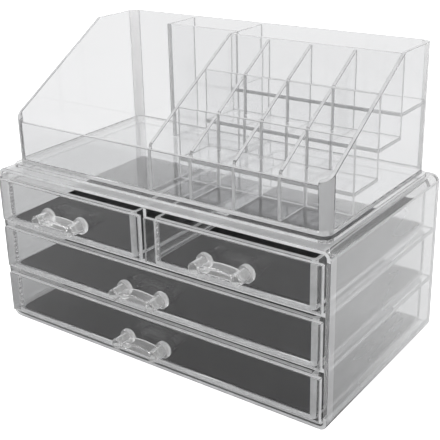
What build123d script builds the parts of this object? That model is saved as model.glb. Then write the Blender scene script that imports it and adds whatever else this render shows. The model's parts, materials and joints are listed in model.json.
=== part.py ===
from build123d import *
import os

# Clear countertop organizer: a four-drawer chest with a lift-off divided tray on top.
# Millimetres. X runs along the width, the fronts face -Y, +Z is up.
# The origin is the centre of the chest's footprint, on the surface it stands on.

# ---- Chest case ----
case_width = 240.0
case_depth = 135.0
case_height = 105.0
case_corner = 5.0            # outside radius of the four long edges of the sleeve
side_wall = 2.5
top_wall = 2.2
bottom_wall = 2.5
back_sheet = 2.5
sheet_recess = 0.6           # shelf fronts stand back from the sleeve's front rim

# ---- Raised plateau on the lid that locates the tray ----
plateau_rise = 2.0
plateau_side_margin = 5.3
plateau_front_margin = 6.3
plateau_back_margin = 4.0
plateau_corner = 6.0

# ---- Shelves and the short upright between the two small drawers ----
base_sheet = 2.9
shelf_sheet = 3.0
tier_count = 3
lid_headroom = 2.6           # more room above the small drawers than above the wide ones
upright_sheet = 2.5
upright_notch_height = 5.4   # open corner at the foot of the upright's front edge
upright_notch_depth = 12.0

# ---- Clearances ----
bond_gap = 0.15              # cement line between bonded sheets
run_gap = 0.3                # a drawer above the shelf it slides on
reveal = 0.6                 # each end of a drawer front to the opening's wall
rear_gap = 1.2               # a closed drawer to the back sheet
soft_gap = 0.3               # round the loose liners
tray_gap = 0.1               # tray underside above the plateau
wide_box_gap = 4.2           # each side of a full-width drawer's box to the wall
small_box_gap = 5.4          # each side of a small drawer's box to the walls of its opening
tray_side_step = 2.1         # from the plateau's edge in to the tray's side
tray_front_step = 3.7
tray_back_step = 0.8

# ---- Drawers ----
front_headroom = 1.8         # above a drawer's front, up to the shelf
front_sheet = 3.0
front_proud = 3.5            # face of a closed front before the sleeve's front rim
front_edge_round = 0.5
box_side = 2.7
box_front = 3.0              # as high as the front, so that the two make one broad top edge
box_back = 2.7
box_floor = 1.5
box_corner = 3.0
liner_thick = 1.0
liner_corner = 1.5

# ---- Handles ----
post_spacing = 27.0
post_length = 12.0
post_radius = 3.6
post_bore = 2.7
post_bore_depth = 9.5
pad_radius = 5.2
pad_thick = 2.6
bow_thick = 2.0
bow_rise = 1.8               # crown of the arched bow above its ends
bow_end_height = 1.0         # the bow's top above the post centres, where it meets them
bow_front_setback = 1.2      # post tips stand this far in front of the bow
lip_thick = 2.0
lip_drop = 1.5               # lower edge of the bow's front lip below the post centres
handle_low = 1.45            # post centres below the middle of the drawer's front

# ---- Tray shell ----
tray_height = 79.3
tray_wall = 2.3
tray_floor = 2.1
tray_corner = 6.4
tray_front_height = 27.1
tray_slope_step = 1.5        # the side's sloping top edge starts this far above the front wall
tray_slope_run = 83.0        # depth over which the side's top edge climbs to full height

# ---- Tray partitions ----
partition_sheet = 2.2
partition_setdown = 0.8      # partitions stop this far below the outer walls' top edge
partition_round = 2.5
left_area_width = 105.65     # clear width of the open area left of the main partition
rear_bay_depth = 33.7        # clear depth behind the last cross wall
lane_count = 4
second_row_level = 14.8      # floors of the raised rows, above the tray's underside
third_row_level = 31.2
rear_bay_level = 44.8
corner_box_width = 53.6      # small box behind the main partition, inside its side wall
corner_box_depth = 25.3

case_front = -case_depth / 2
case_back = case_depth / 2
inner_half = case_width / 2 - side_wall
ceiling = case_height - top_wall
sheet_front = case_front + sheet_recess
sheet_back = case_back - back_sheet - bond_gap
base_level = bottom_wall + base_sheet
tier_pitch = (ceiling + shelf_sheet - base_level - lid_headroom) / tier_count
lower_level = base_level + tier_pitch
upper_level = lower_level + tier_pitch
front_height = tier_pitch - shelf_sheet - run_gap - front_headroom
handle_height = front_height / 2 - handle_low
plateau_half = case_width / 2 - plateau_side_margin
plateau_front = case_front + plateau_front_margin
plateau_back = case_back - plateau_back_margin
tray_half = plateau_half - tray_side_step
tray_front = plateau_front + tray_front_step
tray_back = plateau_back - tray_back_step
tray_bottom = case_height + plateau_rise + tray_gap
tray_top = tray_bottom + tray_height
tray_slope_start = tray_front_height + tray_slope_step
tray_floor_level = tray_bottom + tray_floor
tray_inner_front = tray_front + tray_wall
tray_inner_back = tray_back - tray_wall
tray_inner_half = tray_half - tray_wall
raised_levels = [second_row_level, third_row_level, rear_bay_level]
row_count = len(raised_levels)
row_pitch = (tray_inner_back - rear_bay_depth - tray_inner_front) / row_count
main_partition_x = left_area_width - tray_inner_half + partition_sheet / 2
lane_pitch = (tray_half - tray_wall / 2 - main_partition_x) / lane_count
nodes = {}


def block(x0, x1, y0, y1, z0, z1):
    """Rectangular solid between two corners."""
    return Pos(x0, y0, z0) * Box(x1 - x0, y1 - y0, z1 - z0, align=(Align.MIN,) * 3)


def rounded_block(x0, x1, y0, y1, z0, z1, radius):
    """Rectangular solid whose four upright edges are rounded."""
    outline = RectangleRounded(x1 - x0, y1 - y0, radius)
    return extrude(Pos((x0 + x1) / 2, (y0 + y1) / 2, z0) * outline, z1 - z0)


def side_plate(points, x_centre, thickness):
    """Upright sheet across X, cut to an outline of (y, z) points."""
    outline = Plane.YZ * make_face(Polyline(points, close=True))
    return Pos(x_centre - thickness / 2, 0, 0) * extrude(outline, thickness, dir=(1, 0, 0))


def slope_height(y):
    """Height of the tray side's top edge at depth y."""
    climb = tray_height - tray_slope_start
    run = min(max(y - tray_front, 0), tray_slope_run)
    return tray_bottom + tray_slope_start + climb * run / tray_slope_run


# ---- Chest ----
def case_sleeve():
    """One-piece sleeve with rounded long edges and the raised plateau on its lid."""
    middle = case_height / 2
    outer = Plane.XZ * Pos(0, middle) * RectangleRounded(case_width, case_height, case_corner)
    hollow_height = ceiling - bottom_wall
    hollow_middle = (ceiling + bottom_wall) / 2
    inner_corner = case_corner - side_wall
    hollow = RectangleRounded(2 * inner_half, hollow_height, inner_corner)
    inner = Plane.XZ * Pos(0, hollow_middle) * hollow
    sleeve = extrude(outer - inner, case_depth / 2, both=True)
    plateau = rounded_block(
        -plateau_half,
        plateau_half,
        plateau_front,
        plateau_back,
        case_height - top_wall / 2,
        case_height + plateau_rise,
        plateau_corner,
    )
    return sleeve + plateau


def case_back_panel():
    """Sheet that closes the rear of the sleeve."""
    height = ceiling - bottom_wall - 2 * bond_gap
    middle = (ceiling + bottom_wall) / 2
    width = 2 * (inner_half - bond_gap)
    corner = case_corner - side_wall
    outline = Plane.XZ * Pos(0, middle) * RectangleRounded(width, height, corner)
    return Pos(0, case_back, 0) * extrude(outline, back_sheet)


def shelf(level, thickness, lower_corner=0.0):
    """Full-width shelf whose top is at a drawer level."""
    half = inner_half - bond_gap
    plate = block(-half, half, sheet_front, sheet_back, level - thickness, level)
    if lower_corner > 0:
        low_edges = plate.edges().filter_by(Axis.Y).group_by(Axis.Z)[0]
        plate = fillet(low_edges, lower_corner)
    return plate


def upright():
    """Short wall between the two small drawers, notched at its front foot."""
    foot = upper_level + bond_gap
    head = ceiling - bond_gap
    notch_top = upper_level + upright_notch_height
    notch_back = sheet_front + upright_notch_depth
    outline = [
        (sheet_front, notch_top),
        (notch_back, notch_top),
        (notch_back, foot),
        (sheet_back, foot),
        (sheet_back, head),
        (sheet_front, head),
    ]
    return side_plate(outline, 0, upright_sheet)


# ---- Drawers ----
def drawer_front(x_centre, opening_width, underside):
    """Clear front sheet with softened face edges."""
    half = opening_width / 2 - reveal
    face = case_front - front_proud
    top = underside + front_height
    sheet = block(x_centre - half, x_centre + half, face, face + front_sheet, underside, top)
    face_edges = sheet.faces().sort_by(Axis.Y)[0].edges()
    return fillet(face_edges, front_edge_round)


def drawer_box(x_centre, width, underside):
    """Open-topped box that slides on the shelf behind its front sheet."""
    y0 = case_front - front_proud + front_sheet + bond_gap
    y1 = case_back - back_sheet - rear_gap
    x0 = x_centre - width / 2
    x1 = x_centre + width / 2
    outer = rounded_block(x0, x1, y0, y1, underside, underside + front_height, box_corner)
    hollow = rounded_block(
        x0 + box_side,
        x1 - box_side,
        y0 + box_front,
        y1 - box_back,
        underside + box_floor,
        underside + front_height + box_floor,
        box_corner - box_side / 2,
    )
    return outer - hollow


def drawer_liner(x_centre, width, underside):
    """Loose dark pad on the drawer floor."""
    y0 = case_front - front_proud + front_sheet + bond_gap + box_front + soft_gap
    y1 = case_back - back_sheet - rear_gap - box_back - soft_gap
    half = width / 2 - box_side - soft_gap
    z0 = underside + box_floor + soft_gap
    z1 = z0 + liner_thick
    return rounded_block(x_centre - half, x_centre + half, y0, y1, z0, z1, liner_corner)


def handle(x_centre, underside):
    """Two hollow posts on round pads, joined by an arched bow with a turned-down front lip."""
    z = underside + handle_height
    back = case_front - front_proud - bond_gap
    into_front = Plane((x_centre, back, z), x_dir=(1, 0, 0), z_dir=(0, -1, 0))
    centres = [(-post_spacing / 2, 0), (post_spacing / 2, 0)]
    posts = Sketch() + [Pos(*c) * Circle(post_radius) for c in centres]
    pads = Sketch() + [Pos(*c) * Circle(pad_radius) for c in centres]
    bores = Sketch() + [Pos(*c) * Circle(post_bore) for c in centres]
    body = extrude(into_front * posts, post_length) + extrude(into_front * pads, pad_thick)

    def bow_outline(top_offset, bottom):
        half = post_spacing / 2
        end = bow_end_height + top_offset
        crown = end + bow_rise
        arch = ThreePointArc((-half, end), (0, crown), (half, end))
        sides = Polyline((half, end), (half, bottom), (-half, bottom), (-half, end))
        return make_face(Curve() + [arch, sides])

    plate = bow_outline(0, -lip_drop) - bow_outline(-bow_thick, -lip_drop - bow_thick)
    bow_length = post_length - bow_front_setback - pad_thick
    bow = extrude(Pos(0, -pad_thick, 0) * (into_front * plate), bow_length)
    lip_start = Pos(0, -(pad_thick + bow_length - lip_thick), 0)
    lip = extrude(lip_start * (into_front * bow_outline(0, -lip_drop)), lip_thick)
    pull = body + bow + lip
    floor_of_bore = Pos(0, -(post_length - post_bore_depth), 0)
    return pull - extrude(floor_of_bore * (into_front * bores), post_bore_depth)


# ---- Tray ----
def tray_shell():
    """Moulded floor and outer walls, cut to the sloping side profile."""
    outer = rounded_block(
        -tray_half, tray_half, tray_front, tray_back, tray_bottom, tray_top, tray_corner
    )
    hollow = rounded_block(
        -tray_inner_half,
        tray_inner_half,
        tray_inner_front,
        tray_inner_back,
        tray_floor_level,
        tray_top + tray_floor,
        tray_corner - tray_wall,
    )
    start = tray_bottom + tray_slope_start
    above = tray_top + tray_height
    waste = [
        (tray_front - tray_wall, start),
        (tray_front, start),
        (tray_front + tray_slope_run, tray_top),
        (tray_front + tray_slope_run, above),
        (tray_front - tray_wall, above),
    ]
    shell = outer - hollow - side_plate(waste, 0, 4 * tray_half)
    straight = tray_half - tray_corner
    front_cut = block(
        -straight,
        straight,
        tray_front - tray_wall,
        tray_inner_front + tray_wall,
        tray_bottom + tray_front_height,
        tray_top,
    )
    return shell - front_cut


def lane_x(index):
    """Centre of a lane partition: 0 is the main one, then counted to the right."""
    return main_partition_x + index * lane_pitch


def row_y(index):
    """Centre of a cross wall, counted from the front."""
    return tray_inner_front - partition_sheet / 2 + (index + 1) * row_pitch


def partition_top(y):
    return slope_height(y) - partition_setdown


def row_floor_level(index):
    """Top of a row's floor: 0 is the tray's own floor."""
    if index == 0:
        return tray_floor_level
    return tray_bottom + raised_levels[index - 1]


def main_partition():
    """Full-depth wall between the lanes and the open left side."""
    y0 = tray_inner_front + bond_gap
    y1 = tray_inner_back - bond_gap
    foot = tray_floor_level + bond_gap
    knee = tray_front + tray_slope_run
    outline = [
        (y0, foot),
        (y1, foot),
        (y1, partition_top(y1)),
        (knee, partition_top(knee)),
        (y0, partition_top(y0)),
    ]
    plate = side_plate(outline, lane_x(0), partition_sheet)
    return soften_front_top(plate)


def soften_front_top(plate):
    """Round the partition's upper front corner where it drops to the front wall."""
    front = plate.faces().sort_by(Axis.Y)[0]
    corner = front.edges().filter_by(Axis.X).sort_by(Axis.Z)[-1]
    return fillet(corner, partition_round)


def lap_level(row):
    """Height at which a cross wall and a lane partition meet in their half-lap slots."""
    return (row_floor_level(row) + partition_top(row_y(row))) / 2


def lane_partition(index):
    """Wall between two lanes, stepped over the row floors and slotted for the cross walls."""
    y0 = tray_inner_front + bond_gap
    y1 = row_y(row_count - 1) - partition_sheet / 2 - bond_gap
    step_1 = row_y(0) + partition_sheet / 2
    step_2 = row_y(1) + partition_sheet / 2
    foot = [row_floor_level(row) + bond_gap for row in range(row_count)]
    outline = [
        (y0, foot[0]),
        (step_1, foot[0]),
        (step_1, foot[1]),
        (step_2, foot[1]),
        (step_2, foot[2]),
        (y1, foot[2]),
        (y1, partition_top(y1)),
        (y0, partition_top(y0)),
    ]
    plate = soften_front_top(side_plate(outline, lane_x(index), partition_sheet))
    half_slot = partition_sheet / 2 + bond_gap
    for row in range(row_count - 1):
        y = row_y(row)
        lap = lap_level(row)
        plate -= block(-tray_half, tray_half, y - half_slot, y + half_slot, lap, tray_top)
    return plate


def cross_wall(row):
    """Wall between two rows, from the main partition to the tray's right side."""
    y = row_y(row)
    x0 = lane_x(0) + partition_sheet / 2 + bond_gap
    x1 = tray_inner_half - bond_gap
    foot = row_floor_level(row) + bond_gap
    y0 = y - partition_sheet / 2
    wall = block(x0, x1, y0, y0 + partition_sheet, foot, partition_top(y))
    if row == row_count - 1:
        return wall
    half_slot = partition_sheet / 2 + bond_gap
    for index in range(1, lane_count):
        x = lane_x(index)
        wall -= block(x - half_slot, x + half_slot, tray_front, tray_back, foot, lap_level(row))
    return wall


def row_floor(index):
    """Raised floor behind a cross wall. The next cross wall stands on its rear edge."""
    level = row_floor_level(index)
    y0 = row_y(index - 1) + partition_sheet / 2 + bond_gap
    if index < row_count:
        y1 = row_y(index) + partition_sheet / 2
    else:
        y1 = tray_inner_back - bond_gap
    x0 = lane_x(0) + partition_sheet / 2 + bond_gap
    x1 = tray_inner_half - bond_gap
    floor = block(x0, x1, y0, y1, level - partition_sheet, level)
    if index == row_count:
        upright_edges = floor.edges().filter_by(Axis.Z)
        rear_right = upright_edges.sort_by(lambda edge: edge.center().X + edge.center().Y)[-1]
        floor = fillet(rear_right, tray_corner - tray_wall)
    return floor


def corner_box_walls():
    """Two walls that fence off a small box behind the main partition."""
    right = lane_x(0) - partition_sheet / 2 - bond_gap
    left = right - corner_box_width
    back = tray_inner_back - bond_gap
    front = back - corner_box_depth
    foot = tray_floor_level + bond_gap
    top = partition_top(tray_back)
    front_wall = block(left, right, front - partition_sheet, front, foot, top)
    side_wall_sheet = block(left, left + partition_sheet, front + bond_gap, back, foot, top)
    return front_wall, side_wall_sheet


def add_drawer(name, x_centre, opening_width, box_gap, level):
    """The four pieces of one drawer, in its opening."""
    underside = level + run_gap
    box_width = opening_width - 2 * box_gap
    nodes[f"{name}_front"] = drawer_front(x_centre, opening_width, underside)
    nodes[f"{name}_box"] = drawer_box(x_centre, box_width, underside)
    nodes[f"{name}_liner"] = drawer_liner(x_centre, box_width, underside)
    nodes[f"{name}_handle"] = handle(x_centre, underside)


def build():
    nodes["case_sleeve"] = case_sleeve()
    nodes["case_back"] = case_back_panel()
    nodes["base_shelf"] = shelf(base_level, base_sheet - bond_gap, case_corner - side_wall)
    nodes["lower_shelf"] = shelf(lower_level, shelf_sheet)
    nodes["upper_shelf"] = shelf(upper_level, shelf_sheet)
    nodes["upright"] = upright()

    small_opening = inner_half - upright_sheet / 2
    small_centre = upright_sheet / 2 + small_opening / 2
    add_drawer("top_left_drawer", -small_centre, small_opening, small_box_gap, upper_level)
    add_drawer("top_right_drawer", small_centre, small_opening, small_box_gap, upper_level)
    add_drawer("middle_drawer", 0, 2 * inner_half, wide_box_gap, lower_level)
    add_drawer("bottom_drawer", 0, 2 * inner_half, wide_box_gap, base_level)

    nodes["tray_shell"] = tray_shell()
    nodes["main_partition"] = main_partition()
    for index in range(1, lane_count):
        nodes[f"lane_partition_{index}"] = lane_partition(index)
    for row in range(row_count):
        nodes[f"cross_wall_{row + 1}"] = cross_wall(row)
    for index in range(1, row_count + 1):
        nodes[f"row_floor_{index + 1}"] = row_floor(index)
    nodes["corner_box_front"], nodes["corner_box_side"] = corner_box_walls()


build()
os.makedirs("parts", exist_ok=True)
for node, solid in nodes.items():
    export_step(solid, f"parts/{node}.step")
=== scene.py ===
import json
import math

import bmesh
import bpy
from bpy.props import FloatProperty, FloatVectorProperty, IntProperty, PointerProperty
from mathutils import Euler, Matrix, Vector


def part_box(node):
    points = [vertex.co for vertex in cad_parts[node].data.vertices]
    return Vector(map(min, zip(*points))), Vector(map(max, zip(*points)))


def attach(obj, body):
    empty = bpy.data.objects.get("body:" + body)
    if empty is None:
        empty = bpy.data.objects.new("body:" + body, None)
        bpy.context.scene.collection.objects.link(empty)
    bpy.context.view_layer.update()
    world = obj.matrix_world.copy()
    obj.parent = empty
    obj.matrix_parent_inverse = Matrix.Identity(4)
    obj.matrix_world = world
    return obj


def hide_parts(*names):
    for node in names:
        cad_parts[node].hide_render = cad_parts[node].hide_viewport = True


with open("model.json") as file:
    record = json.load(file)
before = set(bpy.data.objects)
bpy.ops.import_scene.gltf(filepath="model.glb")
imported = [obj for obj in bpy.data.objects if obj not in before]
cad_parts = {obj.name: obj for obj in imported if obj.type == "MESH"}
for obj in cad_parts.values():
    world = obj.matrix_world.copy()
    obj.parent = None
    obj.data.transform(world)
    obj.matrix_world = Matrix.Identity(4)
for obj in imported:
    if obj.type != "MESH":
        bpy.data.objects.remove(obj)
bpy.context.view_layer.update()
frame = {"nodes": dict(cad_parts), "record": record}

bl_info = {
    "name": "Clear countertop organizer",
    "version": (1, 0, 0),
    "blender": (4, 5, 0),
    "location": "View3D > Sidebar > Organizer",
    "description": "Dresses the frame of a four-drawer chest with a lift-off divided tray",
    "category": "Object",
}

MM = 0.001
DRAWERS = ("top_left_drawer", "top_right_drawer", "middle_drawer", "bottom_drawer")
CHEST_SHEETS = ("case_sleeve", "case_back", "base_shelf", "lower_shelf", "upper_shelf", "upright")


# ---- Sizes and colours ----
class OrganizerSheets(bpy.types.PropertyGroup):
    """The clear sheets of the chest, the drawers and the tray."""

    edge_round: FloatProperty(
        name="Edge round", description="Radius left by polishing on every cut edge",
        default=0.25 * MM, min=0.02 * MM, max=1.0 * MM, unit="LENGTH",
    )
    round_steps: IntProperty(
        name="Round steps", description="Facets across each rounded edge", default=2, min=1, max=4,
    )
    tint: FloatVectorProperty(
        name="Sheet colour", description="What a sheet lets through", subtype="COLOR",
        default=(0.99, 0.991, 0.993), min=0.0, max=1.0,
    )
    waviness: FloatProperty(
        name="Waviness", description="Strength of the slow waves in a moulded face",
        default=0.05, min=0.0, max=1.0, subtype="FACTOR",
    )


class OrganizerLiners(bpy.types.PropertyGroup):
    """The loose dark pads in the drawers."""

    colour: FloatVectorProperty(
        name="Liner colour", description="Colour of the pad's fibres", subtype="COLOR",
        default=(0.014, 0.014, 0.0155), min=0.0, max=1.0,
    )
    wave_height: FloatProperty(
        name="Wave height", description="How far a pad lifts off its floor where it isn't flat",
        default=0.7 * MM, min=0.0, max=2.0 * MM, unit="LENGTH",
    )
    wave_length: FloatProperty(
        name="Wave length", description="Distance between the places where a pad lifts",
        default=45 * MM, min=5 * MM, max=200 * MM, unit="LENGTH",
    )


class OrganizerHandles(bpy.types.PropertyGroup):
    """The handles: two hollow posts on pads, joined by an arched bow."""

    post_radius: FloatProperty(
        name="Post radius", description="Outside radius of a post",
        default=3.6 * MM, min=1 * MM, unit="LENGTH",
    )
    bore_radius: FloatProperty(
        name="Bore radius", description="Radius of a post's hollow",
        default=2.7 * MM, min=0.5 * MM, unit="LENGTH",
    )
    bore_depth: FloatProperty(
        name="Bore depth", description="Depth of a post's hollow",
        default=9.5 * MM, min=1 * MM, unit="LENGTH",
    )
    pad_thickness: FloatProperty(
        name="Pad thickness", description="Thickness of the round pad at a post's foot",
        default=2.6 * MM, min=0.5 * MM, unit="LENGTH",
    )
    bow_thickness: FloatProperty(
        name="Bow thickness", description="Thickness of the arched plate between the posts",
        default=2.0 * MM, min=0.5 * MM, unit="LENGTH",
    )
    bow_rise: FloatProperty(
        name="Bow rise", description="Height of the bow's crown above its ends",
        default=1.8 * MM, min=0.0, unit="LENGTH",
    )


class OrganizerStage(bpy.types.PropertyGroup):
    """Floor, light and camera."""

    floor_colour: FloatVectorProperty(
        name="Floor colour", description="Colour of the plain floor", subtype="COLOR",
        default=(0.66, 0.66, 0.66), min=0.0, max=1.0,
    )
    sky_light: FloatProperty(
        name="Sky light", description="Brightness of the light from all round",
        default=1.02, min=0.0,
    )


GROUPS = (
    ("organizer_sheets", OrganizerSheets),
    ("organizer_liners", OrganizerLiners),
    ("organizer_handles", OrganizerHandles),
    ("organizer_stage", OrganizerStage),
)


# ---- Shader maths ----
class Wire:
    """A socket of a node tree, on which sums and products add their own nodes."""

    def __init__(self, tree, socket):
        self.tree = tree
        self.socket = socket

    def math(self, operation, *others):
        return self.tree.node("ShaderNodeMath", {"operation": operation}, [self, *others])

    def __add__(self, other):
        return self.math("ADD", other)

    def __sub__(self, other):
        return self.math("SUBTRACT", other)

    def __mul__(self, other):
        return self.math("MULTIPLY", other)

    def __truediv__(self, other):
        return self.math("DIVIDE", other)

    def __pow__(self, other):
        return self.math("POWER", other)

    def __radd__(self, other):
        return self.math("ADD", other)

    def __rsub__(self, other):
        return self.tree.node("ShaderNodeMath", {"operation": "SUBTRACT"}, [other, self])

    def __rtruediv__(self, other):
        return self.tree.node("ShaderNodeMath", {"operation": "DIVIDE"}, [other, self])

    def clamp(self, low=0.0, high=1.0):
        return self.tree.node("ShaderNodeClamp", {}, [self, low, high])


class ShaderTree:
    """The node tree of a material or a world."""

    def __init__(self, owner):
        owner.use_nodes = True
        self.tree = owner.node_tree
        self.tree.nodes.clear()

    def make(self, kind, settings=None, sockets=None):
        """One node: its settings first, then the values or links of its inputs."""
        made = self.tree.nodes.new(kind)
        for name, value in (settings or {}).items():
            if name == "stops":
                self.set_stops(made.color_ramp, value)
            else:
                setattr(made, name, value)
        sockets = sockets or {}
        pairs = sockets.items() if isinstance(sockets, dict) else enumerate(sockets)
        for name, value in pairs:
            if isinstance(value, Wire):
                self.tree.links.new(value.socket, made.inputs[name])
            elif value is not None:
                made.inputs[name].default_value = value
        return made

    def node(self, kind, settings=None, sockets=None, output=0):
        return Wire(self, self.make(kind, settings, sockets).outputs[output])

    @staticmethod
    def set_stops(ramp, stops):
        while len(ramp.elements) > 1:
            ramp.elements.remove(ramp.elements[-1])
        for index, (place, colour) in enumerate(stops):
            stop = ramp.elements[0] if index == 0 else ramp.elements.new(place)
            stop.position = place
            stop.color = colour

    def place(self, scale=(1.0, 1.0, 1.0), turn=(0.0, 0.0, 0.0)):
        """The piece's own coordinates, stretched by scale and turned."""
        here = self.node("ShaderNodeTexCoord", output="Object")
        sockets = {"Vector": here, "Rotation": turn, "Scale": scale}
        return self.node("ShaderNodeMapping", {}, sockets)

    def noise(self, where, scale, detail=2.0, roughness=0.5):
        sockets = {"Vector": where, "Scale": scale, "Detail": detail, "Roughness": roughness}
        return self.node("ShaderNodeTexNoise", {}, sockets)

    def bump(self, strength, distance, height):
        sockets = {"Strength": strength, "Distance": distance, "Height": height}
        return self.node("ShaderNodeBump", {}, sockets)

    def blend(self, factor, first, second):
        """A colour between two colours."""
        made = self.make("ShaderNodeMix", {"data_type": "RGBA"})
        for name, value in (("Factor_Float", factor), ("A_Color", first), ("B_Color", second)):
            socket = next(s for s in made.inputs if s.identifier == name)
            if isinstance(value, Wire):
                self.tree.links.new(value.socket, socket)
            else:
                socket.default_value = value
        return Wire(self, next(s for s in made.outputs if s.identifier == "Result_Color"))

    def finish(self, shader, output="ShaderNodeOutputMaterial"):
        self.make(output, {}, {"Surface": shader})


def colour(values):
    return (*values, 1.0)


# ---- Finishes ----
SHEET_IOR = 1.49
DRAWER_IOR = 1.46
TRAY_IOR = 1.53
HAZE_IOR = 1.5               # also of cut edges and partitions
POLISH = 0.004               # roughness of a clear face
SCUFF_ROUGHNESS = 0.02       # what its scratches add
WAVE_DEPTH = 0.2 * MM
HAZE = 0.1                   # roughness of a face that spreads the light
HANDLE_HAZE = 0.01
EDGE_GLOW = 0.16             # painted glow of cut edges, standing in for the light that a sheet carries to them
# painted glows of the lid's margin, the case sides, the tray's back corners and the handles:
# emission, though they are no lamps
MARGIN_GLOW = 0.05
SIDE_GLOW = 0.035
BACK_CORNER_GLOW = 0.1
HANDLE_GLOW = 0.035
# EDGE_TINT, SIDE_TINT, BACK_CORNER_TINT and HANDLE_TINT also colour a painted glow
EDGE_TINT = (0.85, 0.853, 0.86)
CORNER_TINT = (0.86, 0.863, 0.87)
BACK_CORNER_TINT = (0.97, 0.97, 0.972)
SIDE_TINT = (0.87, 0.875, 0.88)
TRAY_TINT = (0.948, 0.95, 0.954)
PARTITION_TINT = (0.982, 0.983, 0.985)
HANDLE_TINT = (0.985, 0.985, 0.985)


def scaled(tint, share):
    return colour([value * share for value in tint])


def clear_plastic(name, tint, waviness, wave_size, ior):
    """A clear plastic: slow waves, fine scuffs and a faint drift of its tint."""
    material = bpy.data.materials.new(name)
    tree = ShaderTree(material)
    waves = tree.noise(tree.place(), 1.0 / wave_size, 2.0, 0.45)
    cloud = tree.noise(tree.place(), 14.0, 3.0, 0.6)
    scratches = tree.noise(tree.place((900.0, 900.0, 60.0), (0.3, 0.2, 0.7)), 1.0, 3.0, 0.6)
    fine = ((scratches - 0.56) * 6.0).clamp()
    bump = tree.bump(waviness, WAVE_DEPTH, waves)
    sockets = {
        "Base Color": tree.blend(cloud, colour(tint), scaled(tint, 0.97)),
        "Roughness": POLISH + fine * SCUFF_ROUGHNESS,
        "IOR": ior,
        "Transmission Weight": 1.0,
        "Normal": bump,
    }
    tree.finish(tree.node("ShaderNodeBsdfPrincipled", {}, sockets))
    return material


def glowing_cut_edge(name, tint):
    """A sawn and polished edge, pale and streaked, with a painted glow standing in for the light
    that the sheet carries to it.
    """
    material = bpy.data.materials.new(name)
    tree = ShaderTree(material)
    streaks = tree.noise(tree.place((260.0, 260.0, 260.0)), 1.0, 3.0, 0.6)
    cloud = tree.noise(tree.place(), 90.0, 2.0, 0.5)
    shade = (streaks * 1.4 + cloud * 0.8 - 0.6).clamp()
    streaked = tree.blend(shade, scaled(tint, 0.72), colour(tint))
    sockets = {
        "Base Color": streaked,
        "Roughness": (0.12 + cloud * 0.2).clamp(),
        "IOR": HAZE_IOR,
        "Transmission Weight": 0.3,
        # painted glow: the edge gives off light of its own, though it is no lamp
        "Emission Color": streaked,
        "Emission Strength": EDGE_GLOW,
        "Normal": tree.bump(0.2, 0.1 * MM, streaks),
    }
    tree.finish(tree.node("ShaderNodeBsdfPrincipled", {}, sockets))
    return material


def hazy_plastic(name, tint, clear, glow, roughness=HAZE):
    """Plastic that spreads part of the light, so that it veils what lies behind it, and gives off a
    painted glow as strong as glow.
    """
    material = bpy.data.materials.new(name)
    tree = ShaderTree(material)
    cloud = tree.noise(tree.place((40.0, 18.0, 90.0)), 1.0, 1.0, 0.5)
    share = (cloud * 2.0 - 0.5).clamp()
    sockets = {
        "Base Color": tree.blend(share, scaled(tint, 0.93), colour(tint)),
        "Roughness": roughness,
        "IOR": HAZE_IOR,
        "Transmission Weight": clear,
        # painted glow: light of its own, though the piece is no lamp (none where glow is 0)
        "Emission Color": colour(tint),
        "Emission Strength": glow,
    }
    tree.finish(tree.node("ShaderNodeBsdfPrincipled", {}, sockets))
    return material


def liner_fabric(name, tint):
    """Dark short-fibred pad."""
    material = bpy.data.materials.new(name)
    tree = ShaderTree(material)
    fibres = tree.noise(tree.place(), 1400.0, 4.0, 0.7)
    cloud = tree.noise(tree.place(), 60.0, 3.0, 0.6)
    shade = (fibres * 0.7 + cloud * 0.5 - 0.1).clamp()
    sockets = {
        "Base Color": tree.blend(shade, scaled(tint, 0.5), scaled(tint, 2.2)),
        "Roughness": (0.75 + cloud * 0.2).clamp(),
        "Specular IOR Level": 0.35,
        "Sheen Weight": 0.25,
        "Normal": tree.bump(0.6, 0.3 * MM, fibres),
    }
    tree.finish(tree.node("ShaderNodeBsdfPrincipled", {}, sockets))
    return material


# ---- Geometry Nodes ----
class ShapeTree(ShaderTree):
    """A Geometry Nodes tree with named inputs."""

    def __init__(self, name, inputs):
        self.tree = bpy.data.node_groups.new(name, "GeometryNodeTree")
        for label, kind in inputs:
            self.tree.interface.new_socket(name=label, in_out="INPUT", socket_type=kind)
        self.tree.interface.new_socket(
            name="Geometry", in_out="OUTPUT", socket_type="NodeSocketGeometry"
        )
        self.entry = self.tree.nodes.new("NodeGroupInput")

    def given(self, label):
        return Wire(self, self.entry.outputs[label])

    def part(self, axis, of=None):
        """One part of a vector, or of the position."""
        whole = of or self.node("GeometryNodeInputPosition")
        return self.node("ShaderNodeSeparateXYZ", {}, [whole], output=axis)

    def vector(self, x, y, z):
        return self.node("ShaderNodeCombineXYZ", {}, [x, y, z])

    def move(self, shape, offset):
        return self.node("GeometryNodeSetPosition", {}, {"Geometry": shape, "Offset": offset})

    def close(self, shape, material):
        """Ends the tree: real geometry with its material."""
        real = self.node("GeometryNodeRealizeInstances", {}, [shape])
        painted = self.node("GeometryNodeSetMaterial", {}, {"Geometry": real, "Material": material})
        self.make("NodeGroupOutput", {}, [painted])
        return self.tree


PAD_GRID = 61
PAD_SEED = 3.0
PAD_WELD = 0.01 * MM
PAD_CORNER_DRAW = -0.008     # share of its place by which a pad's corner draws in


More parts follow.
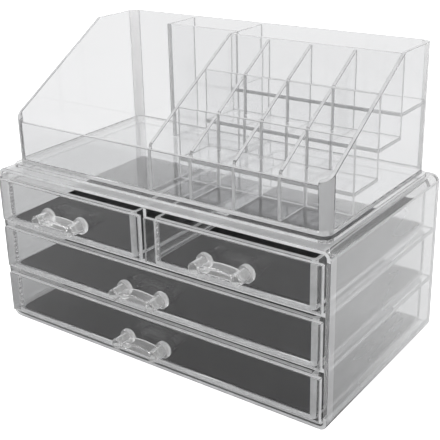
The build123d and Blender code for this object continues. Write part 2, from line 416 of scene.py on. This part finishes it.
def loose_pad_tree():
    """A thin pad that lifts off its floor in slow waves, most at its edges."""
    floats = ("Width", "Depth", "Thickness", "Wave height", "Wave length", "Seed")
    inputs = [(label, "NodeSocketFloat") for label in floats]
    fixed = (("Place", "NodeSocketVector"), ("Material", "NodeSocketMaterial"))
    tree = ShapeTree("loose_pad", (*inputs, *fixed))
    width, depth, thickness = tree.given("Width"), tree.given("Depth"), tree.given("Thickness")
    grid = tree.node("GeometryNodeMeshGrid", {}, {
        "Size X": width, "Size Y": depth, "Vertices X": PAD_GRID, "Vertices Y": PAD_GRID,
    })
    here = tree.node("GeometryNodeInputPosition")
    x, y = tree.part(0, here), tree.part(1, here)
    across = (x * 2.0 / width).math("ABSOLUTE")
    along = (y * 2.0 / depth).math("ABSOLUTE")
    corner = (across * along) ** 24.0
    edge = across.math("MAXIMUM", along) ** 6.0
    waves = tree.node("ShaderNodeTexNoise", {"noise_dimensions": "4D"}, {
        "Vector": here, "W": tree.given("Seed"), "Detail": 1.0,
        "Scale": 1.0 / tree.given("Wave length"),
    })
    lift = ((waves - 0.45) * 3.0).clamp() * (edge * 0.7 + 0.3) * tree.given("Wave height")
    drawn = [place * corner * PAD_CORNER_DRAW for place in (x, y)]
    laid = tree.move(grid, tree.vector(*drawn, lift))
    top = tree.node("GeometryNodeExtrudeMesh", {}, {
        "Mesh": laid, "Offset": tree.vector(0.0, 0.0, 1.0), "Offset Scale": thickness,
        "Individual": False,
    })
    under = tree.node("GeometryNodeFlipFaces", {}, [laid])
    both = tree.make("GeometryNodeJoinGeometry")
    for part in (top, under):
        tree.tree.links.new(part.socket, both.inputs[0])
    closed = tree.node("GeometryNodeMergeByDistance", {}, {
        "Geometry": Wire(tree, both.outputs[0]), "Distance": PAD_WELD,
    })
    lowered = tree.move(closed, tree.vector(0.0, 0.0, thickness * -0.5))
    return tree.close(tree.move(lowered, tree.given("Place")), tree.given("Material"))


POST_SIDES = 72
POST_RINGS = 61
EDGE_SOFTENING = 0.35 * MM
BORE_OVERRUN = 1.0 * MM      # how far the bore's cutter stands out of the post
BOW_GRID = (41, 25)
BOW_SETBACK = 1.2 * MM       # post tips stand this far in front of the bow
BOW_END = 1.0 * MM           # the bow's top above the post centres, where it meets them
LIP_THICKNESS = 2.0 * MM
LIP_DROP = 1.5 * MM          # lower edge of the bow's front lip below the post centres


def handle_tree():
    """Two hollow posts on round pads, repeated at a spacing, and the arched bow with its lip."""
    floats = (
        "Spacing", "Length", "Post radius", "Pad radius", "Pad thickness",
        "Bore radius", "Bore depth", "Bow thickness", "Bow rise",
    )
    inputs = [(label, "NodeSocketFloat") for label in floats]
    fixed = (("Place", "NodeSocketVector"), ("Material", "NodeSocketMaterial"))
    tree = ShapeTree("bow_handle", (*inputs, *fixed))
    part, vector = tree.part, tree.vector
    spacing, length, post, pad, pad_thickness = map(tree.given, floats[:5])
    bore, bore_depth, bow_thickness, rise = map(tree.given, floats[5:])

    def cylinder(radius, depth, rings):
        """A cylinder along Y whose far end is on the XZ plane."""
        upright = tree.node("GeometryNodeMeshCylinder", {}, {
            "Vertices": POST_SIDES, "Side Segments": rings, "Radius": radius, "Depth": depth,
        })
        return tree.node("GeometryNodeTransform", {}, {
            "Geometry": upright, "Translation": vector(0.0, depth * -0.5, 0.0),
            "Rotation": Euler((math.pi / 2, 0.0, 0.0)),
        })

    def repeated(shape):
        """The shape at both ends of the spacing."""
        points = tree.node("GeometryNodeMeshLine", {}, {
            "Count": 2, "Start Location": vector(spacing * -0.5, 0.0, 0.0),
            "Offset": vector(spacing, 0.0, 0.0),
        })
        sockets = {"Points": points, "Instance": shape}
        copies = tree.node("GeometryNodeInstanceOnPoints", {}, sockets)
        return tree.node("GeometryNodeRealizeInstances", {}, [copies])

    forward = part(1) * -1.0
    on_pad = (pad_thickness - forward).math("GREATER_THAN", 0.0)
    wide = post + (pad - post) * on_pad
    from_step = (pad_thickness - forward).math("ABSOLUTE") + (1.0 - on_pad)
    from_ends = forward.math("MINIMUM", length - forward).math("MINIMUM", from_step)
    softening = (1.0 - from_ends / EDGE_SOFTENING).clamp() ** 2.0 * EDGE_SOFTENING
    scale = (wide - softening) / pad
    body = tree.node("GeometryNodeSetPosition", {}, {
        "Geometry": cylinder(pad, length, POST_RINGS),
        "Position": vector(part(0) * scale, part(1), part(2) * scale),
    })
    hollow = tree.node("GeometryNodeTransform", {}, {
        "Geometry": cylinder(bore, bore_depth + BORE_OVERRUN, 1),
        "Translation": vector(0.0, (length - bore_depth) * -1.0, 0.0),
    })
    bow_length = length - BOW_SETBACK - pad_thickness
    plate = tree.node("GeometryNodeMeshCube", {}, {
        "Size": vector(spacing, bow_length, 1.0 * MM),
        "Vertices X": BOW_GRID[0], "Vertices Y": BOW_GRID[1], "Vertices Z": 2,
    })
    along = part(0) * 2.0 / spacing
    top = (1.0 - along * along) * rise + BOW_END
    under = top - bow_thickness
    in_lip = (part(1) + bow_length * 0.5).math("LESS_THAN", LIP_THICKNESS)
    foot = under + (-LIP_DROP - under) * in_lip
    upper = part(2).math("GREATER_THAN", 0.0)
    behind = part(1) - pad_thickness - bow_length * 0.5
    bow = tree.node("GeometryNodeSetPosition", {}, {
        "Geometry": plate, "Position": vector(part(0), behind, foot + (top - foot) * upper),
    })
    joined = tree.make("GeometryNodeMeshBoolean", {"operation": "UNION", "solver": "EXACT"})
    for shape in (repeated(body), bow):
        tree.tree.links.new(shape.socket, joined.inputs["Mesh 2"])
    pull = tree.node("GeometryNodeMeshBoolean", {"operation": "DIFFERENCE", "solver": "EXACT"}, {
        "Mesh 1": Wire(tree, joined.outputs[0]), "Mesh 2": repeated(hollow),
    })
    placed = tree.node("GeometryNodeTransform", {}, {
        "Geometry": pull, "Translation": tree.given("Place"),
    })
    return tree.close(placed, tree.given("Material"))


def built_mesh(context, tree, values):
    """The plain mesh that a Geometry Nodes tree makes from these inputs."""
    carrier = bpy.data.objects.new(tree.name, bpy.data.meshes.new(tree.name))
    context.scene.collection.objects.link(carrier)
    modifier = carrier.modifiers.new("shape", "NODES")
    modifier.node_group = tree
    for item in tree.interface.items_tree:
        if item.in_out == "INPUT":
            modifier[item.identifier] = values[item.name]
    ready = carrier.evaluated_get(context.evaluated_depsgraph_get())
    mesh = bpy.data.meshes.new_from_object(ready)
    bpy.data.objects.remove(carrier)
    return mesh


# ---- Mesh helpers ----
NARROW = 0.9 * MM            # narrower faces are facets of a curve or of a polished edge
EDGE_WIDTH = 3.2 * MM        # wider faces are no cut edges
MERGE = 0.002 * MM
FLAT = math.radians(0.6)
SHARP = math.radians(38)


def sort_faces(shape):
    """Facets of a curve or a polished edge are smooth, and the cut edges take the second finish."""
    for face in shape.faces:
        width = 2 * face.calc_area() / face.calc_perimeter()
        face.smooth = width < NARROW
        face.material_index = int(NARROW <= width < EDGE_WIDTH)


def polished_copy(node, edge_round, steps, cuts=(), dress=None):
    """A copy of a frame node whose cut edges are polished round.

    Each cut is a plane (axis, place) that parts the faces, and dress(centre, normal) names the
    finish of a face where its width doesn't.
    """
    shape = bmesh.new()
    shape.from_mesh(frame["nodes"][node].data)
    bmesh.ops.remove_doubles(shape, verts=shape.verts, dist=MERGE)
    bmesh.ops.dissolve_limit(shape, angle_limit=FLAT, verts=shape.verts, edges=shape.edges)
    sharp = [e for e in shape.edges if e.is_manifold and e.calc_face_angle() > SHARP]
    bmesh.ops.bevel(
        shape, geom=sharp, offset=edge_round, segments=steps, profile=0.5,
        affect="EDGES", clamp_overlap=True,
    )
    for axis, place in cuts:
        normal = Vector([float(axis == number) for number in range(3)])
        bmesh.ops.bisect_plane(
            shape, geom=shape.verts[:] + shape.edges[:] + shape.faces[:], dist=MERGE,
            plane_co=normal * place, plane_no=normal,
        )
    sort_faces(shape)
    for face in shape.faces:
        finish = dress(face.calc_center_median(), face.normal) if dress else None
        if finish is not None:
            face.material_index = finish
    mesh = bpy.data.meshes.new(node)
    shape.to_mesh(mesh)
    shape.free()
    return mesh


def show(mesh, name, body, materials, slot, *stands_for):
    """A finished piece on its body, in place of the frame nodes that it stands for."""
    piece = bpy.data.objects.new(name, mesh)
    bpy.context.scene.collection.objects.link(piece)
    for material in materials:
        mesh.materials.append(material)
    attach(piece, body)
    if stands_for:
        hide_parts(*stands_for)
    return piece


def polished_piece(context, node, body, materials, slot, cuts=(), dress=None):
    sheets = context.scene.organizer_sheets
    mesh = polished_copy(node, sheets.edge_round, sheets.round_steps, cuts, dress)
    return show(mesh, f"{node}_clear", body, materials, slot, node)


# ---- Operators ----
CLEAR, EDGE, HAZY, SIDE = range(4)   # places of the finishes in a piece's list of materials
BACK_CORNER = 3
UPRIGHT = 0.3                # an upright face's normal rises less than this
FACING = 0.9                 # a normal's part along an axis, for a face across that axis
TURNED = 0.15                # a rounded corner's normal has this much of both level axes
WITHIN = 0.1 * MM
SIDE_BAND = 6 * MM
RIM_END = 8 * MM
PLATEAU_RISE = 2 * MM
BAR_WIDTH = 2.9 * MM         # front end of a drawer box's side wall, pale with the cut edge's painted glow
FOOT = 2.2 * MM              # height of a floor's pale edge; on a drawer box it also takes the cut edge's painted glow
TWO_BARS = ("top_right_drawer",)
CHEST_WAVE = 40 * MM
CHEST_FLATNESS = 0.6         # the case's waves beside the drawers'
DRAWER_WAVE = 25 * MM
TRAY_WAVE = 30 * MM


class OrganizerOperator:
    """What the operators share."""

    bl_options = {"REGISTER", "UNDO"}

    def execute(self, context):
        self.make(context)
        return {"FINISHED"}


class ORGANIZER_OT_chest(OrganizerOperator, bpy.types.Operator):
    """Polished clear sheets of the chest"""

    bl_idname = "organizer.chest"
    bl_label = "Chest sheets"

    def make(self, context):
        tint = context.scene.organizer_sheets.tint
        waviness = context.scene.organizer_sheets.waviness
        sheet = (
            clear_plastic("chest_sheet", tint, waviness * CHEST_FLATNESS, CHEST_WAVE, SHEET_IOR),
            # the cut edges, the lid's margin and the sides give off a painted glow
            glowing_cut_edge("chest_edge_glow", EDGE_TINT),
            hazy_plastic("chest_margin_glow", EDGE_TINT, 0.5, MARGIN_GLOW),
            hazy_plastic("chest_side_glow", SIDE_TINT, 0.68, SIDE_GLOW),
        )
        low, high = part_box("case_sleeve")
        band = low.y + SIDE_BAND
        cuts = [(1, band), (2, low.z + RIM_END), (2, high.z - RIM_END)]
        lid = high.z - PLATEAU_RISE

        def dress(centre, normal):
            """The upright rims stay clear. The lid's margin and the sides spread the light and give
            off a painted glow.
            """
            if normal.y < -FACING and low.z + RIM_END < centre.z < high.z - RIM_END:
                return CLEAR
            if normal.z > FACING and abs(centre.z - lid) < 2 * WITHIN:
                return HAZY
            if abs(normal.x) > FACING and high.x - abs(centre.x) < WITHIN:
                return HAZY if centre.y < band else SIDE
            return None

        polished_piece(context, "case_sleeve", "chest", sheet, "case_acrylic", cuts, dress)
        for node in CHEST_SHEETS[1:]:
            polished_piece(context, node, "chest", sheet, "case_acrylic")


class ORGANIZER_OT_drawers(OrganizerOperator, bpy.types.Operator):
    """Fronts, boxes and handles of the four drawers"""

    bl_idname = "organizer.drawers"
    bl_label = "Drawers"

    def make(self, context):
        tint = context.scene.organizer_sheets.tint
        waviness = context.scene.organizer_sheets.waviness
        sheet = (
            clear_plastic("drawer_sheet", tint, waviness, DRAWER_WAVE, DRAWER_IOR),
            # the cut edges and the handles' plastic give off a painted glow
            glowing_cut_edge("drawer_edge_glow", EDGE_TINT),
        )
        grip = hazy_plastic("handle_plastic_glow", HANDLE_TINT, 0.9, HANDLE_GLOW, HANDLE_HAZE)
        pulls = handle_tree()
        for drawer in DRAWERS:
            polished_piece(context, f"{drawer}_front", drawer, sheet, "drawer_acrylic")
            self.box(context, drawer, sheet)
            self.handle(context, drawer, pulls, grip)

    @staticmethod
    def handle(context, drawer, pulls, grip):
        """The drawer's handle, from the sizes of its frame node."""
        node = f"{drawer}_handle"
        handles = context.scene.organizer_handles
        low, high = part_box(node)
        pad = (high.z - low.z) / 2
        mesh = built_mesh(context, pulls, {
            "Spacing": high.x - low.x - 2 * pad, "Length": high.y - low.y,
            "Post radius": handles.post_radius,
            "Pad radius": pad, "Pad thickness": handles.pad_thickness,
            "Bore radius": handles.bore_radius, "Bore depth": handles.bore_depth,
            "Bow thickness": handles.bow_thickness, "Bow rise": handles.bow_rise,
            "Place": Vector(((low.x + high.x) / 2, high.y, (low.z + high.z) / 2)),
            "Material": grip,
        })
        mesh.polygons.foreach_set("use_smooth", [True] * len(mesh.polygons))
        mesh.set_sharp_from_angle(angle=SHARP)
        show(mesh, f"{node}_clear", drawer, [], "handle_acrylic", node)

    @staticmethod
    def box(context, drawer, sheet):
        """The drawer's box. Its side walls' ends and its floor's edge at the front take the cut
        edge's pale finish with its painted glow.
        """
        node = f"{drawer}_box"
        low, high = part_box(node)
        left = low.x + BAR_WIDTH if drawer in TWO_BARS else low.x
        right = high.x - BAR_WIDTH
        foot = low.z + FOOT

        def dress(centre, normal):
            at_front = normal.y < -UPRIGHT and centre.y < low.y + BAR_WIDTH
            # faces that take the cut edge's pale finish and painted glow
            bright = centre.x < left or centre.x > right or centre.z < foot
            return EDGE if at_front and bright else None

        cuts = [(0, place) for place in (left, right) if place > low.x] + [(2, foot)]
        polished_piece(context, node, drawer, sheet, "drawer_acrylic", cuts, dress)


class ORGANIZER_OT_liners(OrganizerOperator, bpy.types.Operator):
    """Loose dark pads on the drawers' floors"""

    bl_idname = "organizer.liners"
    bl_label = "Drawer liners"

    def make(self, context):
        liners = context.scene.organizer_liners
        fabric = liner_fabric("liner_fabric", liners.colour)
        tree = loose_pad_tree()
        for number, drawer in enumerate(DRAWERS):
            node = f"{drawer}_liner"
            low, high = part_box(node)
            size = high - low
            mesh = built_mesh(context, tree, {
                "Width": size.x, "Depth": size.y, "Thickness": size.z,
                "Place": (low + high) / 2, "Seed": PAD_SEED + number,
                "Wave height": liners.wave_height, "Wave length": liners.wave_length,
                "Material": fabric,
            })
            piece = show(mesh, f"{node}_pad", drawer, [], "dark_liner", node)


class ORGANIZER_OT_tray(OrganizerOperator, bpy.types.Operator):
    """Moulded tray and its partitions"""

    bl_idname = "organizer.tray"
    bl_label = "Divided tray"

    def make(self, context):
        waviness = context.scene.organizer_sheets.waviness
        plastic = (
            clear_plastic("tray_plastic", TRAY_TINT, waviness, TRAY_WAVE, TRAY_IOR),
            # the cut edges and the back corners give off a painted glow
            glowing_cut_edge("tray_edge_glow", EDGE_TINT),
            hazy_plastic("tray_corner", CORNER_TINT, 0.5, 0.0),
            hazy_plastic("tray_back_corner_glow", BACK_CORNER_TINT, 0.5, BACK_CORNER_GLOW),
        )
        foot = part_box("tray_shell")[0].z + FOOT

        def dress(centre, normal):
            """The rounded upright corners and the outside of the foot spread the light; the back
            corners also give off a painted glow.
            """
            if abs(normal.z) >= UPRIGHT:
                return None
            if centre.z < foot:
                return HAZY
            if min(abs(normal.x), abs(normal.y)) > TURNED:
                return HAZY if centre.y < 0 else BACK_CORNER
            return None

        polished_piece(context, "tray_shell", "tray", plastic, "tray_acrylic", [(2, foot)], dress)
        partition = clear_plastic("partition_sheet", PARTITION_TINT, waviness, TRAY_WAVE, HAZE_IOR)
        for node in frame["record"]["behaviour"]["bodies"]["tray"]:
            if node != "tray_shell":
                polished_piece(context, node, "tray", (partition, plastic[EDGE]), "tray_acrylic")


# ---- Stage ----
FLOOR_HALF = 4.0
FLOOR_GLARE = 1.0            # keeps the floor white to the camera
BACK_GLOW = 0.38             # share of the glare that the floor behind gives to the object too
BACK_START = 0.05            # the floor starts to glow this far before the object's middle
BACK_SLOPE = 8.0
KEY_PLACE = (-0.9, -0.9, 1.5)
KEY_SIZE = 1.6
KEY_POWER = 3.5
AIM = (0, 0, 0.1)
BOUNCES = 48                 # light that is caught in a thick clear piece bounces many times
CLEAR_BOUNCES = 40
DIFFUSE_BOUNCES = 4
SKY_STOPS = (
    (0.0, (1.0, 1.0, 1.0, 1.0)),
    (0.55, (1.0, 1.0, 1.0, 1.0)),
    (0.8, (0.6, 0.6, 0.61, 1.0)),
    (1.0, (0.5, 0.5, 0.51, 1.0)),
)
FRAME_PIXELS = 440
CAMERA_PLACE = Vector((0.31106, -0.42396, 0.29111))
CAMERA_TARGET = Vector((0.010028, -0.0075, 0.093185))
CAMERA_ROLL = math.radians(-1.277)
FOCAL_PIXELS = 899.224
AXIS_ROW = 195
SENSOR = 36.0


def photo_camera(context):
    """Camera at the reference viewing angle."""
    data = bpy.data.cameras.new("camera")
    data.sensor_width = SENSOR
    data.lens = FOCAL_PIXELS * SENSOR / FRAME_PIXELS
    data.shift_y = (AXIS_ROW - FRAME_PIXELS / 2) / FRAME_PIXELS
    data.clip_start = 0.01
    camera = bpy.data.objects.new("camera", data)
    back = (CAMERA_PLACE - CAMERA_TARGET).normalized()
    right = Vector((0, 0, 1)).cross(back).normalized()
    up = back.cross(right)
    rolled_right = right * math.cos(CAMERA_ROLL) + up * math.sin(CAMERA_ROLL)
    rolled_up = up * math.cos(CAMERA_ROLL) - right * math.sin(CAMERA_ROLL)
    turn = Matrix((rolled_right, rolled_up, back)).transposed().to_4x4()
    camera.matrix_world = Matrix.Translation(CAMERA_PLACE) @ turn
    context.scene.collection.objects.link(camera)
    context.scene.camera = camera


class ORGANIZER_OT_stage(OrganizerOperator, bpy.types.Operator):
    """Plain pale floor, soft light and the camera"""

    bl_idname = "organizer.stage"
    bl_label = "Stage"

    def make(self, context):
        scene = context.scene
        stage = scene.organizer_stage
        photo_camera(context)
        self.floor(stage)
        self.sky(scene, stage)
        self.softbox("key_light", KEY_PLACE, KEY_SIZE, KEY_POWER)
        scene.view_settings.view_transform = "Standard"
        scene.cycles.max_bounces = BOUNCES
        scene.cycles.transmission_bounces = CLEAR_BOUNCES
        scene.cycles.glossy_bounces = BOUNCES
        scene.cycles.diffuse_bounces = DIFFUSE_BOUNCES
        scene.cycles.transparent_max_bounces = CLEAR_BOUNCES

    @staticmethod
    def floor(stage):
        mesh = bpy.data.meshes.new("floor")
        signs = ((-1, -1), (1, -1), (1, 1), (-1, 1))
        corners = [(x * FLOOR_HALF, y * FLOOR_HALF, 0) for x, y in signs]
        mesh.from_pydata(corners, [], [(0, 1, 2, 3)])
        material = bpy.data.materials.new("floor_paper")
        tree = ShaderTree(material)
        grain = tree.noise(tree.place(), 300.0, 3.0)
        paper = tree.node("ShaderNodeBsdfPrincipled", {}, {
            "Base Color": tree.blend(
                grain, colour(stage.floor_colour), scaled(stage.floor_colour, 0.98)
            ),
            "Roughness": 0.8,
            "Specular IOR Level": 0.2,
        })
        glare = tree.node("ShaderNodeEmission", {}, {
            "Color": colour((1, 1, 1)), "Strength": FLOOR_GLARE,
        })
        seen = tree.node("ShaderNodeLightPath", output=0)
        here = tree.node("ShaderNodeTexCoord", output="Object")
        depth = tree.node("ShaderNodeSeparateXYZ", {}, [here], output=1)
        behind = ((depth + BACK_START) * BACK_SLOPE).clamp() * BACK_GLOW
        bright = tree.node("ShaderNodeAddShader", {}, [paper, glare])
        share = seen.math("MAXIMUM", behind)
        tree.finish(tree.node("ShaderNodeMixShader", {}, [share, paper, bright]))
        mesh.materials.append(material)
        floor = bpy.data.objects.new("floor", mesh)
        bpy.context.scene.collection.objects.link(floor)

    @staticmethod
    def sky(scene, stage):
        world = bpy.data.worlds.new("studio")
        scene.world = world
        tree = ShaderTree(world)
        toward = tree.node("ShaderNodeTexCoord", output=0)
        height = tree.node("ShaderNodeSeparateXYZ", {}, [toward], output=2)
        ramp = tree.make("ShaderNodeValToRGB", {"stops": SKY_STOPS}, [height])
        light = tree.node("ShaderNodeBackground", {}, {
            "Color": Wire(tree, ramp.outputs[0]), "Strength": stage.sky_light,
        })
        tree.finish(light, "ShaderNodeOutputWorld")

    @staticmethod
    def softbox(name, place, size, power):
        data = bpy.data.lights.new(name, "AREA")
        data.shape = "SQUARE"
        data.size = size
        data.energy = power
        lamp = bpy.data.objects.new(name, data)
        lamp.location = place
        toward = Vector(AIM) - Vector(place)
        lamp.rotation_euler = toward.to_track_quat("-Z", "Y").to_euler()
        bpy.context.scene.collection.objects.link(lamp)


OPERATORS = (
    ORGANIZER_OT_chest,
    ORGANIZER_OT_drawers,
    ORGANIZER_OT_liners,
    ORGANIZER_OT_tray,
    ORGANIZER_OT_stage,
)


class ORGANIZER_PT_panel(bpy.types.Panel):
    """Sizes, colours and the steps that make the organizer"""

    bl_idname = "ORGANIZER_PT_panel"
    bl_label = "Organizer"
    bl_space_type = "VIEW_3D"
    bl_region_type = "UI"
    bl_category = "Organizer"

    def draw(self, context):
        for name, group in GROUPS:
            box = self.layout.box()
            for setting in group.__annotations__:
                box.prop(getattr(context.scene, name), setting)
        for operator in OPERATORS:
            self.layout.operator(operator.bl_idname)


CLASSES = (*(group for _, group in GROUPS), *OPERATORS, ORGANIZER_PT_panel)


def register():
    for item in CLASSES:
        bpy.utils.register_class(item)
    for name, group in GROUPS:
        setattr(bpy.types.Scene, name, PointerProperty(type=group))


def unregister():
    for name, _ in GROUPS:
        delattr(bpy.types.Scene, name)
    for item in reversed(CLASSES):
        bpy.utils.unregister_class(item)


def main():
    register()
    bpy.ops.organizer.stage()
    bpy.ops.organizer.chest()
    bpy.ops.organizer.drawers()
    bpy.ops.organizer.liners()
    bpy.ops.organizer.tray()


if __name__ == "__main__":
    main()
